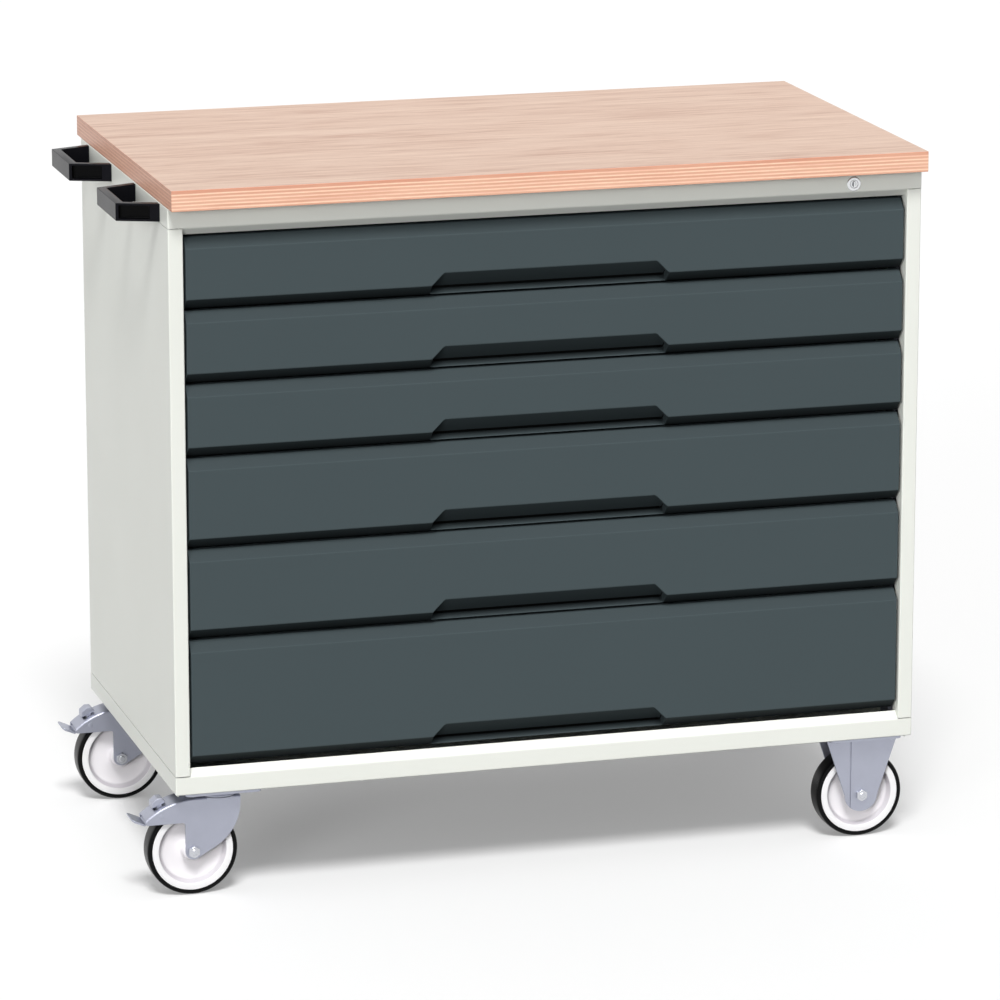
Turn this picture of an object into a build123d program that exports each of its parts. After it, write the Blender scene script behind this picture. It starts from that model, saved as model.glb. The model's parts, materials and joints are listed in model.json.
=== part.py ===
from build123d import *
import math
import os

# Mobile workbench with six drawers, in millimetres.
# The front faces -Y, +Z is up, and the origin is on the floor under the middle of the overall box.

# Cabinet shell
cabinet_width = 1050.0
cabinet_depth = 550.0
cap_height = 27.0
base_height = 25.0
sheet = 1.5
inner_bend = 0.5
stile_width = 19.0
stile_return = 20.0
front_lip = 10.0
side_lip = 5.0
side_lip_setback = 12.0
panel_nest = 12.0
lip_gap = 0.5

# Worktop
worktop_thickness = 28.0
worktop_overhang = 25.0
worktop_rounding = 1.2

# Drawer stack: its height, and the share of each drawer from the top down
stack_height = 725.0
drawer_shares = [4, 4, 4, 5, 5, 7]
stack_margin = 12.5
drawer_gap = 3.5
drawer_side_gap = 3.5

# Drawer fronts and their grip pockets
front_sheet = 1.2
front_bevel = 14.0
front_inner_bend = 0.6
front_rear_return = 20.0
grip_rise = 17.0
grip_half_width = 165.0
grip_room = 0.6

# Drawer trays
tray_sheet = 1.0
tray_lift = 8.0
tray_top_drop = 12.0
tray_rear_room = 18.0

# Telescopic slides and the uprights that carry them
slide_height = 45.0
slide_width = 12.7
slide_sheet = 1.2
slide_play = 0.4
slide_rise = 30.0
upright_width = 30.0
upright_inset = 12.5
upright_top_room = 10.0

# Cylinder lock and lock bar
lock_inset = 98.0
lock_rise = 11.0
bezel_radius = 10.0
bezel_thickness = 2.0
barrel_radius = 8.0
barrel_length = 20.0
plug_radius = 5.4
key_slot_width = 1.8
key_slot_height = 7.0
key_slot_depth = 6.0
cam_radius = 9.0
cam_thickness = 3.0
pin_throw = 6.0
pin_radius = 2.0
bar_thickness = 2.5
bar_width = 12.0
bar_rod_width = 8.0
bar_foot_room = 30.0
bar_play = 0.3
catch_length = 8.0
catch_height = 10.0

# Push handles on the left side of the cap
handle_inset = 125.0
handle_base = 160.0
handle_bar = 118.0
handle_reach = 55.0
handle_height = 24.0
handle_thickness = 12.0
handle_foot = 14.0
handle_pocket_depth = 7.0
handle_pocket_rim = 3.0
handle_rounding = 1.5

# Fasteners
screw_radius = 2.5
screw_head_radius = 5.0
screw_head_height = 3.0
screw_depth = 11.0
worktop_screw_depth = 18.0
worktop_screw_inset = 75.0
worktop_screw_columns = 4
bolt_radius = 4.0
bolt_head_radius = 7.0
bolt_head_height = 5.0
weld_nut_height = 6.0
fit_clearance = 0.05

# Castor wheels
wheel_radius = 62.5
tyre_half_width = 16.0
tyre_shoulder = 5.0
rim_radius = 56.0
rim_half_width = 15.0
rim_ring = 9.0
rim_dish = 3.0
disc_half_width = 5.0
hub_radius = 14.0
axle_radius = 5.0
axle_head_radius = 8.5
axle_head_thickness = 5.0
hub_play = 0.3

# Castor plates, forks and brackets
plate_length = 105.0
plate_width = 85.0
plate_thickness = 4.0
bolt_spacing_x = 80.0
bolt_spacing_y = 60.0
castor_inset_y = 45.0
swivel_inset = 67.0
fixed_inset = 65.0
trail = 38.0
fork_sheet = 3.0
wheel_side_gap = 2.0
wheel_headroom = 9.0
head_radius = 27.5
cup_height = 8.7
cup_top_radius = 21.0
swivel_play = 0.3
kingpin_radius = 6.0
kingpin_head_radius = 10.0
kingpin_head_height = 4.0
fork_hub_round = 11.0
fork_back_angle = 30.0
fork_back_radius = 70.0
hood_past_wheel = 3.0
hood_tip_below_wheel_top = 14.0
hood_edge = 7.0
crown_flat_start = 5.0
bracket_hub_round = 24.0
bracket_press_half = 18.0
bracket_press_slope = 6.0
bracket_press_depth = 2.5

# Brake pedals
brake_pivot_angle = 130.0
brake_pivot_room = 1.5
brake_knuckle_radius = 4.5
brake_pin_radius = 2.0
brake_pin_head_radius = 3.5
brake_pin_head_thickness = 1.5
brake_plate = 3.0
brake_side_room = 1.0
brake_hood_room = 1.2
tongue_length = 19.0
tongue_lift = 8.0
tongue_half_width = 19.0
toe_pad_length = 15.0
toe_pad_half_width = 10.0
toe_pad_thickness = 4.0
toe_pad_lift = 8.5
toe_stem_thickness = 6.0
toe_slot_room = 1.0
brake_travel = 10.0

# Heights that follow from the pieces
axle_z = wheel_radius
crown_top = wheel_radius + wheel_headroom + fork_sheet
plate_low = axle_z + crown_top + swivel_play + cup_height
castor_height = plate_low + plate_thickness
base_floor = castor_height + sheet
base_top = castor_height + base_height
drawer_cells = [stack_height * share / sum(drawer_shares) for share in drawer_shares]
body_top = base_top + stack_height + 2 * stack_margin
cap_top = body_top + cap_height
worktop_top = cap_top + worktop_thickness

# Plan lines that follow from the pieces
half_width = cabinet_width / 2
front_y = -cabinet_depth / 2
back_y = cabinet_depth / 2
panel_outer = half_width - sheet
panel_inner = panel_outer - sheet
panel_front = front_y + sheet
panel_back = back_y - sheet
panel_low = base_top - panel_nest
panel_high = cap_top - sheet
stile_edge = panel_outer - stile_width
root_two = math.sqrt(2)
corner_shift = math.tan(math.radians(22.5))

# Drawers
front_half = stile_edge - drawer_side_gap
face_y = panel_front
groove_depth = (grip_rise + 2 * front_bevel) / 2
front_depth = groove_depth + front_sheet * root_two + grip_room + front_sheet
tray_front = face_y + front_depth
back_panel_front = panel_back - 2 * sheet
tray_back = back_panel_front - tray_rear_room
tray_half = stile_edge - slide_width
slide_length = tray_back - tray_front
drawer_travel = slide_length

# Castors
front_castor_y = front_y + castor_inset_y
rear_castor_y = back_y - castor_inset_y
swivel_x = -half_width + swivel_inset
swivel_wheel_x = swivel_x - trail
fixed_x = half_width - fixed_inset
bracket_top_half = plate_length / 2
fork_inner = tyre_half_width + wheel_side_gap
fork_outer = fork_inner + fork_sheet
hub_half = fork_inner - hub_play
hood_reach = wheel_radius + hood_past_wheel
hood_tip = wheel_radius - hood_tip_below_wheel_top
crown_run = crown_flat_start + hood_reach
crown_fall = crown_top - hood_tip
crown_radius = (crown_run ** 2 + crown_fall ** 2) / (2 * crown_fall)
crown_centre_z = crown_top - crown_radius
brake_pivot_radius = wheel_radius + brake_knuckle_radius + brake_pivot_room
brake_x = brake_pivot_radius * math.cos(math.radians(brake_pivot_angle))
brake_z = brake_pivot_radius * math.sin(math.radians(brake_pivot_angle))

# The overall box reaches left to the pedals or the handles, whichever stand out further.
pedal_reach = -(swivel_wheel_x - hood_reach - tongue_length) - half_width
origin_shift = max(pedal_reach, handle_reach) / 2

# Lock
lock_x = half_width - lock_inset
lock_z = body_top + lock_rise
barrel_back = front_y + barrel_length
cam_back = barrel_back + bar_play + cam_thickness
bar_front = cam_back + bar_play
pin_drop = pin_throw / root_two
lock_bar_lift = 2 * pin_drop

# Push handles
handle_low = body_top + (cap_height - handle_height) / 2
handle_mid = handle_low + handle_height / 2
handle_lean = (handle_base - handle_bar) / 2 / handle_reach
handle_screw_offset = handle_base / 2 - handle_thickness / 2 - handle_lean * screw_depth / 2
handle_centres = {"front": front_y + handle_inset, "rear": back_y - handle_inset}


def block(x0, x1, y0, y1, z0, z1):
    return Pos((x0 + x1) / 2, (y0 + y1) / 2, (z0 + z1) / 2) * Box(x1 - x0, y1 - y0, z1 - z0)


def outline(points, radius=0.0):
    if radius == 0.0:
        return make_face(Polyline(*points, close=True))
    return make_face(FilletPolyline(*points, radius=radius, close=True))


def along_x(face, x0, x1):
    """A face drawn in (y, z), drawn out from x0 to x1."""
    plane = Plane(origin=(x0, 0, 0), x_dir=(0, 1, 0), z_dir=(1, 0, 0))
    return extrude(plane * face, x1 - x0, dir=(1, 0, 0))


def along_y(face, y0, y1):
    """A face drawn in (x, z), drawn out from y0 to y1."""
    plane = Plane(origin=(0, y0, 0), x_dir=(1, 0, 0), z_dir=(0, -1, 0))
    return extrude(plane * face, y1 - y0, dir=(0, 1, 0))


def along_z(face, z0, z1):
    """A face drawn in (x, y), drawn out from z0 to z1."""
    return extrude(Pos(0, 0, z0) * face, z1 - z0, dir=(0, 0, 1))


def rod_x(y, z, radius, x0, x1):
    return Pos((x0 + x1) / 2, y, z) * Rot(0, 90, 0) * Cylinder(radius, x1 - x0)


def rod_y(x, z, radius, y0, y1):
    return Pos(x, (y0 + y1) / 2, z) * Rot(90, 0, 0) * Cylinder(radius, y1 - y0)


def rod_z(x, y, radius, z0, z1):
    return Pos(x, y, (z0 + z1) / 2) * Cylinder(radius, z1 - z0)


def hex_y(x, z, radius, y0, y1):
    return along_y(Pos(x, z) * RegularPolygon(radius, 6), y0, y1)


def save(name, shapes):
    """Writes one solid, or a group of separate solids, in the shared frame."""
    group = shapes if isinstance(shapes, list) else [shapes]
    solids = [solid for shape in group for solid in shape.solids()]
    moved = [Pos(origin_shift, 0, 0) * solid for solid in solids]
    export_step(moved[0] if len(moved) == 1 else Compound(children=moved), f"parts/{name}.step")


# Places that several pieces share
def worktop_screw_places():
    reach = half_width - worktop_screw_inset
    step = 2 * reach / (worktop_screw_columns - 1)
    columns = [-reach + step * index for index in range(worktop_screw_columns)]
    return [(x, y) for x in columns for y in (front_y + worktop_screw_inset, back_y - worktop_screw_inset)]


def handle_screw_places():
    offsets = (-handle_screw_offset, handle_screw_offset)
    return [centre + offset for centre in handle_centres.values() for offset in offsets]


def castor_places():
    return [(x, y) for x in (swivel_x, fixed_x) for y in (front_castor_y, rear_castor_y)]


def castor_bolt_places(x, y):
    offsets_x = (-bolt_spacing_x / 2, bolt_spacing_x / 2)
    offsets_y = (-bolt_spacing_y / 2, bolt_spacing_y / 2)
    return [(x + dx, y + dy) for dx in offsets_x for dy in offsets_y]


def all_castor_bolt_places():
    return [place for x, y in castor_places() for place in castor_bolt_places(x, y)]


def drawer_levels():
    """The lowest and highest line of each drawer front, from the top drawer down."""
    levels = []
    cell_top = body_top - stack_margin
    for cell in drawer_cells:
        levels.append((cell_top - cell + drawer_gap / 2, cell_top - drawer_gap / 2))
        cell_top -= cell
    return levels


# Worktop and shell
def worktop():
    board = block(-half_width, half_width, front_y - worktop_overhang, back_y + worktop_overhang,
                  cap_top, worktop_top)
    board = fillet(board.edges(), worktop_rounding)
    for x, y in worktop_screw_places():
        board -= rod_z(x, y, screw_radius + fit_clearance, cap_top, cap_top + worktop_screw_depth)
    return board


def pan(z0, z1, hollow_z0, hollow_z1):
    """A folded pan with the cabinet's outer plan, hollow between the two inner heights."""
    outer = RectangleRounded(cabinet_width, cabinet_depth, inner_bend + sheet)
    inner = RectangleRounded(cabinet_width - 2 * sheet, cabinet_depth - 2 * sheet, inner_bend)
    return along_z(outer, z0, z1) - along_z(inner, hollow_z0, hollow_z1)


def top_cap():
    slant = sheet * root_two
    cap = pan(body_top, cap_top, body_top, cap_top - sheet)
    lip = [(front_y, body_top), (front_y + front_lip, body_top - front_lip),
           (front_y + front_lip, body_top - front_lip + slant), (front_y, body_top + slant)]
    cap += along_x(outline(lip), -stile_edge + lip_gap, stile_edge - lip_gap)
    for x, y in worktop_screw_places():
        cap -= rod_z(x, y, screw_radius + fit_clearance, cap_top - sheet, cap_top)
    for y in handle_screw_places():
        cap -= rod_x(y, handle_mid, screw_radius + fit_clearance, -half_width, -panel_outer)
    cap -= rod_y(lock_x, lock_z, barrel_radius + fit_clearance, front_y, panel_front)
    return cap


def base_tray():
    slant = sheet * root_two
    tray = pan(castor_height, base_top, base_floor, base_top)
    lip = [(front_y, base_top), (front_y, base_top - slant),
           (front_y + front_lip, base_top + front_lip - slant), (front_y + front_lip, base_top + front_lip)]
    tray += along_x(outline(lip), -stile_edge + lip_gap, stile_edge - lip_gap)
    hem = [(half_width, castor_height), (half_width - side_lip, castor_height - side_lip),
           (half_width - side_lip - slant, castor_height - side_lip), (half_width - slant, castor_height)]
    right_hem = along_y(outline(hem), front_y + side_lip_setback, back_y - side_lip_setback)
    tray += right_hem
    tray += mirror(right_hem, about=Plane.YZ)
    for x, y in all_castor_bolt_places():
        nut = Pos(x, y) * RegularPolygon(bolt_head_radius, 6)
        tray += along_z(nut, base_floor, base_floor + weld_nut_height)
    for x, y in all_castor_bolt_places():
        tray -= rod_z(x, y, bolt_radius + fit_clearance, castor_height, base_floor + weld_nut_height)
    return tray


def right_side_panel():
    points = [(stile_edge, panel_front), (panel_outer, panel_front), (panel_outer, panel_back),
              (stile_edge, panel_back), (stile_edge, panel_back - sheet), (panel_inner, panel_back - sheet),
              (panel_inner, panel_front + sheet), (stile_edge + sheet, panel_front + sheet),
              (stile_edge + sheet, panel_front + stile_return), (stile_edge, panel_front + stile_return)]
    outer_bend = inner_bend + sheet
    radii = [outer_bend, outer_bend, outer_bend, 0, 0, inner_bend, inner_bend, inner_bend, 0, 0]
    return along_z(outline(points, radii), panel_low, panel_high)


def left_side_panel():
    panel = mirror(right_side_panel(), about=Plane.YZ)
    for y in handle_screw_places():
        panel -= rod_x(y, handle_mid, screw_radius + fit_clearance, -panel_outer, -panel_inner)
    return panel


def back_panel():
    reach = panel_inner - inner_bend
    return block(-reach, reach, back_panel_front, panel_back - sheet, panel_low, panel_high)


def slide_uprights():
    """Four channel posts that stand between the side panels and the slides."""
    posts = []
    top = body_top - upright_top_room
    for y0 in (tray_front + upright_inset, tray_back - upright_inset - upright_width):
        y1 = y0 + upright_width
        points = [(stile_edge, y0), (panel_inner, y0), (panel_inner, y0 + sheet),
                  (stile_edge + sheet, y0 + sheet), (stile_edge + sheet, y1 - sheet),
                  (panel_inner, y1 - sheet), (panel_inner, y1), (stile_edge, y1)]
        post = along_z(outline(points), panel_low, top)
        posts += [post, mirror(post, about=Plane.YZ)]
    return posts


# Slides: three nested channels on each side of each drawer
def channel(x_web, reach, height, z):
    """A channel section with its web at x_web and its lips reaching sideways by a signed amount."""
    turn = math.copysign(slide_sheet, reach)
    half = height / 2
    return [(x_web, z - half), (x_web, z + half), (x_web + reach, z + half),
            (x_web + reach, z + half - slide_sheet), (x_web + turn, z + half - slide_sheet),
            (x_web + turn, z - half + slide_sheet), (x_web + reach, z - half + slide_sheet),
            (x_web + reach, z - half)]


def slide_pair(x_web, reach, height, z):
    right = along_y(outline(channel(x_web, reach, height, z)), tray_front, tray_back)
    return [right, mirror(right, about=Plane.YZ)]


nesting = slide_sheet + slide_play
cabinet_member_reach = slide_width - nesting
middle_web = stile_edge - nesting
middle_height = slide_height - 2 * nesting
middle_reach = slide_width - 3 * nesting + slide_play
drawer_member_height = middle_height - 2 * nesting
drawer_member_reach = slide_width - 2 * nesting - slide_play


def slide_level(front_low):
    return front_low + tray_lift + slide_rise


def cabinet_slides():
    slides = []
    for low, high in drawer_levels():
        slides += slide_pair(stile_edge, -cabinet_member_reach, slide_height, slide_level(low))
    return slides


def middle_slides(low):
    return slide_pair(middle_web, -middle_reach, middle_height, slide_level(low))


def inner_slides(low):
    return slide_pair(tray_half, drawer_member_reach, drawer_member_height, slide_level(low))


# Drawers
def drawer_front(low, high):
    """A folded front: bevelled along top and bottom, with a finger groove let into its lower edge."""
    thick = front_sheet
    shift = thick * corner_shift
    back = tray_front
    ledge = face_y + front_bevel
    outer = [(face_y, low + front_bevel), (ledge, low), (back, low), (back, high), (ledge, high),
             (face_y, high - front_bevel)]
    inner = [(face_y + thick, low + front_bevel + shift), (ledge + shift, low + thick),
             (back - thick, low + thick), (back - thick, high - thick), (ledge + shift, high - thick),
             (face_y + thick, high - front_bevel - shift)]
    solid = along_x(outline(outer, front_inner_bend + thick), -front_half, front_half)
    shell = solid - along_x(outline(inner, front_inner_bend), -front_half + thick, front_half - thick)
    window = front_half - front_rear_return
    shell -= block(-window, window, back - thick, back, low + front_rear_return, high - front_rear_return)
    wall = (groove(low, thick) & grip_shape(low, thick)) & solid
    return (shell + wall) - (groove(low, 0.0) & grip_shape(low, 0.0))


def groove(low, wall):
    """The finger groove right across the front, or the same with its wall added."""
    crease = low + front_bevel
    grow = wall * root_two
    apex = (face_y + groove_depth + grow, crease + grip_rise - groove_depth)
    lip = (face_y + front_bevel + grow, low)
    ahead = face_y - front_bevel
    below = low - front_bevel
    points = [(ahead, crease + grip_rise + grow), (face_y, crease + grip_rise + grow), apex, lip,
              (lip[0], below), (ahead, below)]
    return along_x(outline(points), -front_half, front_half)


def grip_shape(low, wall):
    """The pocket's shape from the front: straight ends below, slanted ends above."""
    crease = low + front_bevel
    half = grip_half_width + wall
    knee = crease + wall * corner_shift
    rise = grip_rise + 2 * wall
    top = half - (crease + rise - knee)
    below = low - front_bevel
    points = [(-half, below), (half, below), (half, knee), (top, crease + rise), (-top, crease + rise),
              (-half, knee)]
    return along_y(outline(points), face_y - front_bevel, tray_front)


def drawer_tray(low, high):
    floor = low + tray_lift
    top = high - tray_top_drop
    t = tray_sheet
    outer = block(-tray_half, tray_half, tray_front, tray_back, floor, top)
    return outer - block(-tray_half + t, tray_half - t, tray_front + t, tray_back - t, floor + t, top)


# Lock
def lock_housing():
    bezel_front = front_y - bezel_thickness
    housing = rod_y(lock_x, lock_z, bezel_radius, bezel_front, front_y)
    housing += rod_y(lock_x, lock_z, barrel_radius, front_y, barrel_back)
    return housing - rod_y(lock_x, lock_z, plug_radius + fit_clearance, bezel_front, barrel_back)


def lock_cylinder():
    plug = rod_y(lock_x, lock_z, plug_radius, front_y - bezel_thickness, barrel_back + bar_play)
    plug -= block(lock_x - key_slot_width / 2, lock_x + key_slot_width / 2, front_y - bezel_thickness,
                  front_y - bezel_thickness + key_slot_depth, lock_z - key_slot_height / 2,
                  lock_z + key_slot_height / 2)
    plug += rod_y(lock_x, lock_z, cam_radius, barrel_back + bar_play, cam_back)
    pin_end = bar_front + bar_thickness
    return plug + rod_y(lock_x + pin_drop, lock_z - pin_drop, pin_radius, cam_back, pin_end)


def lock_bar():
    """An upright rod behind the right stile, with an arm to the cam and a catch beside each drawer."""
    arm_z = lock_z - pin_drop
    arm_top = arm_z + bar_width / 2
    rod_right = panel_inner - (panel_inner - stile_edge - sheet - bar_rod_width) / 2
    rod_left = rod_right - bar_rod_width
    bar_back = bar_front + bar_thickness
    bar = block(lock_x - bar_width / 2, rod_right, bar_front, bar_back, arm_z - bar_width / 2, arm_top)
    bar += block(rod_left, rod_right, bar_front, bar_back, panel_low + bar_foot_room, arm_top)
    catch_end = bar_back + catch_length
    for low, high in drawer_levels():
        catch_z = slide_level(low)
        bar += block(rod_left, rod_right, bar_back, catch_end, catch_z, catch_z + catch_height)
    slot_mid = lock_x + (pin_drop + pin_throw) / 2
    slot_half = (pin_throw - pin_drop) / 2 + pin_radius + bar_play
    slot_rise = pin_radius + bar_play
    return bar - block(slot_mid - slot_half, slot_mid + slot_half, bar_front, bar_back, arm_z - slot_rise,
                       arm_z + slot_rise)


# Push handles
def push_handle(centre):
    """A bow of trapezoid plan, its legs hollowed from outside but for the feet."""
    wall_x = -half_width
    bar_x = wall_x - handle_reach
    base = handle_base / 2
    bar = handle_bar / 2
    thick = handle_thickness
    outer = [(wall_x, centre - base), (wall_x, centre + base), (bar_x, centre + bar), (bar_x, centre - bar)]
    inner_bar = bar + handle_lean * thick - thick
    inner_base = base - thick
    inner = [(wall_x, centre - inner_base), (wall_x, centre + inner_base),
             (bar_x + thick, centre + inner_bar), (bar_x + thick, centre - inner_bar)]
    grip = along_z(outline(outer), handle_low, handle_low + handle_height)
    grip -= along_z(outline(inner), handle_low, handle_low + handle_height)
    grip = fillet(grip.edges().filter_by(Axis.Z).group_by(Axis.X)[0], handle_thickness / 4)
    rims = [edge for edge in grip.edges() if abs(edge.center().X - wall_x) > handle_rounding]
    grip = chamfer([edge for edge in rims if abs(edge.tangent_at(0.5).Z) < 0.5], handle_rounding / 2)
    pocket_in = wall_x - handle_foot
    pocket_out = bar_x + thick
    for side in (-1, 1):
        floor_in = base - handle_lean * (wall_x - pocket_in) - handle_pocket_depth
        floor_out = base - handle_lean * (wall_x - pocket_out) - handle_pocket_depth
        pocket = [(pocket_in, centre + side * floor_in), (pocket_in, centre + side * handle_base),
                  (pocket_out, centre + side * handle_base), (pocket_out, centre + side * floor_out)]
        grip -= along_z(outline(pocket), handle_low + handle_pocket_rim,
                        handle_low + handle_height - handle_pocket_rim)
        screw_y = centre + side * handle_screw_offset
        grip -= rod_x(screw_y, handle_mid, screw_radius + fit_clearance, wall_x - screw_depth, wall_x)
    return grip


# Fasteners
def handle_screws():
    screws = []
    for y in handle_screw_places():
        screw = rod_x(y, handle_mid, screw_head_radius, -panel_inner, -panel_inner + screw_head_height)
        screws.append(screw + rod_x(y, handle_mid, screw_radius, -half_width - screw_depth, -panel_inner))
    return screws


def worktop_screws():
    screws = []
    head_top = cap_top - sheet
    for x, y in worktop_screw_places():
        screw = rod_z(x, y, screw_head_radius, head_top - screw_head_height, head_top)
        screws.append(screw + rod_z(x, y, screw_radius, head_top, cap_top + worktop_screw_depth))
    return screws


def castor_bolts():
    bolts = []
    for x, y in all_castor_bolt_places():
        hexagon = Pos(x, y) * RegularPolygon(bolt_head_radius, 6)
        head = along_z(hexagon, plate_low - bolt_head_height, plate_low)
        bolts.append(head + rod_z(x, y, bolt_radius, plate_low, base_floor + weld_nut_height))
    return bolts


# Castors
def castor_plate(x, y):
    plan = Pos(x, y) * RectangleRounded(plate_length, plate_width, bolt_head_radius)
    plate = along_z(plan, plate_low, castor_height)
    for bolt_x, bolt_y in castor_bolt_places(x, y):
        plate -= rod_z(bolt_x, bolt_y, bolt_radius + fit_clearance, plate_low, castor_height)
    return plate


def swivel_plate(y):
    """Top plate with its pressed bearing cup and the kingpin that carries the fork."""
    crown_z = axle_z + crown_top
    cup_low = plate_low - cup_height
    cup = Pos(swivel_x, y, (cup_low + plate_low) / 2) * Cone(head_radius, cup_top_radius, cup_height)
    pin_low = crown_z - fork_sheet - swivel_play
    pin = rod_z(swivel_x, y, kingpin_radius, pin_low, plate_low)
    pin += rod_z(swivel_x, y, kingpin_head_radius, pin_low - kingpin_head_height, pin_low)
    return castor_plate(swivel_x, y) + cup + pin


def crown_height(x, inset):
    """Height of the hood above the axle at x, on its outer face or a given depth inside it."""
    if x >= crown_flat_start:
        return crown_top - inset
    return crown_centre_z + math.sqrt((crown_radius - inset) ** 2 - (x - crown_flat_start) ** 2)


def hood_arc(inset):
    """The hood's curve from its left tip to where the crown runs level."""
    middle = (crown_flat_start - hood_reach) / 2
    tip = (-hood_reach, crown_height(-hood_reach, inset))
    return ThreePointArc(tip, (middle, crown_height(middle, inset)), (crown_flat_start, crown_top - inset))


def fork_side():
    """Side outline of the fork about its axle: leg, hood to the left, curved back to the right."""
    right = trail + head_radius
    low = hood_tip - hood_edge
    turn = math.radians(fork_back_angle)
    touch = (fork_hub_round * math.sin(turn), -fork_hub_round * math.cos(turn))
    corner_z = touch[1] + (right - touch[0]) * math.tan(turn)
    back = FilletPolyline((crown_flat_start, crown_top), (right, crown_top), (right, corner_z), touch,
                          radius=[fork_sheet, fork_back_radius])
    round_mid = (-fork_hub_round / root_two, -fork_hub_round / root_two)
    hub_arc = ThreePointArc(touch, round_mid, (-fork_hub_round, 0))
    front = Polyline((-fork_hub_round, 0), (-fork_hub_round, low), (-hood_reach, low),
                     (-hood_reach, hood_tip))
    return make_face([*hood_arc(0.0).edges(), *back.edges(), *hub_arc.edges(), *front.edges()])


def fork_hollow():
    """The space under the crown for the wheel, drawn past the fork's ends."""
    right = trail + head_radius + fork_sheet
    far_left = -hood_reach - fork_sheet
    tip = crown_height(-hood_reach, fork_sheet)
    below = -2 * fork_hub_round
    roof = crown_top - fork_sheet
    rim = Polyline((crown_flat_start, roof), (right, roof), (right, below), (far_left, below),
                   (far_left, tip), (-hood_reach, tip))
    return make_face([*hood_arc(fork_sheet).edges(), *rim.edges()])


def fork(y):
    at_axle = Pos(swivel_wheel_x, y, axle_z)
    side = along_y(fork_side(), -fork_outer, fork_outer)
    head = rod_z(trail, 0, head_radius, crown_top - fork_sheet, crown_top)
    shape = side + head - along_y(fork_hollow(), -fork_inner, fork_inner)
    shape -= rod_z(trail, 0, kingpin_radius + fit_clearance, crown_top - fork_sheet, crown_top)
    shape -= rod_y(0, 0, axle_radius + fit_clearance, -fork_outer, fork_outer)
    shape -= rod_y(brake_x, brake_z, brake_pin_radius + fit_clearance, -fork_outer, fork_outer)
    slot_y = toe_pad_half_width + toe_slot_room
    swing = (crown_top - brake_z) * math.sin(math.radians(brake_travel))
    slot_left = brake_x - toe_stem_thickness / 2 - swing - toe_slot_room
    slot_right = brake_x + toe_stem_thickness / 2 + toe_slot_room
    shape -= block(slot_left, slot_right, -slot_y, slot_y, brake_z, crown_top)
    return at_axle * shape


def wheel_axle(x, y, seat):
    """A bolt through the wheel, with a hexagon at each end seated on the fork or bracket."""
    axle = rod_y(0, 0, axle_radius, -seat, seat)
    axle += hex_y(0, 0, axle_head_radius, -seat - axle_head_thickness, -seat)
    axle += hex_y(0, 0, axle_head_radius, seat, seat + axle_head_thickness)
    return Pos(x, y, axle_z) * axle


def brake_pin(y):
    pin = rod_y(brake_x, brake_z, brake_pin_radius, -fork_outer, fork_outer)
    for side in (-1, 1):
        ends = sorted((side * fork_outer, side * (fork_outer + brake_pin_head_thickness)))
        pin += rod_y(brake_x, brake_z, brake_pin_head_radius, ends[0], ends[1])
    return Pos(swivel_wheel_x, y, axle_z) * pin


def brake_pedal(y):
    """A lever on the brake pin: a tongue out to the left, and a toe pad up through the hood."""
    half = fork_inner - brake_side_room
    end_z = crown_height(-hood_reach, fork_sheet) - brake_hood_room
    tip = (-hood_reach - tongue_length, end_z + tongue_lift)
    root = -hood_reach - brake_side_room
    arm = [(brake_x, brake_z + brake_plate / 2), (brake_x, brake_z - brake_plate / 2),
           (-hood_reach, end_z - brake_plate), (root, end_z - brake_plate), (root, end_z),
           (-hood_reach, end_z)]
    tongue = [(root, end_z), (root, end_z - brake_plate), (tip[0], tip[1] - brake_plate), tip]
    lever = along_y(outline(arm), -half, half)
    lever += along_y(outline(tongue), -tongue_half_width, tongue_half_width)
    lever += rod_y(brake_x, brake_z, brake_knuckle_radius, -half, half)
    hood_z = crown_height(brake_x, 0.0)
    stem_half = toe_stem_thickness / 2
    pad_low = hood_z + toe_pad_lift
    stem = block(brake_x - stem_half, brake_x + stem_half, -toe_pad_half_width, toe_pad_half_width, brake_z,
                 pad_low + toe_pad_thickness)
    pad = block(brake_x - stem_half - toe_pad_length / 2, brake_x + toe_pad_length / 2, -toe_pad_half_width,
                toe_pad_half_width, pad_low, pad_low + toe_pad_thickness)
    lever += stem + pad
    lever -= rod_y(brake_x, brake_z, brake_pin_radius + fit_clearance, -half, half)
    return Pos(swivel_wheel_x, y, axle_z) * lever


def fixed_bracket(y):
    """Top plate with two tapering legs, each pressed out along its middle."""
    top = plate_low - axle_z
    flank = Polyline((-bracket_hub_round, 0), (-bracket_top_half, top), (bracket_top_half, top),
                     (bracket_hub_round, 0))
    hub_arc = ThreePointArc((bracket_hub_round, 0), (0, -bracket_hub_round), (-bracket_hub_round, 0))
    leg_face = make_face([*flank.edges(), *hub_arc.edges()])
    proud = fork_outer + bracket_press_depth
    wide = bracket_press_half
    narrow = bracket_press_half - bracket_press_slope
    legs = []
    for side in (-1, 1):
        press = [(-wide, side * fork_outer), (-narrow, side * proud), (narrow, side * proud),
                 (wide, side * fork_outer)]
        press_inside = [(x, y_out - side * fork_sheet) for x, y_out in press]
        ends = sorted((side * fork_inner, side * fork_outer))
        reach = sorted((side * fork_inner, side * proud))
        leg = along_y(leg_face, ends[0], ends[1])
        leg += along_z(outline(press), -bracket_hub_round, top) & along_y(leg_face, reach[0], reach[1])
        leg -= along_z(outline(press_inside), -bracket_hub_round, top)
        legs.append(leg - rod_y(0, 0, axle_radius + fit_clearance, reach[0], reach[1]))
    at_axle = Pos(fixed_x, y, axle_z)
    return castor_plate(fixed_x, y) + at_axle * legs[0] + at_axle * legs[1]


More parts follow.
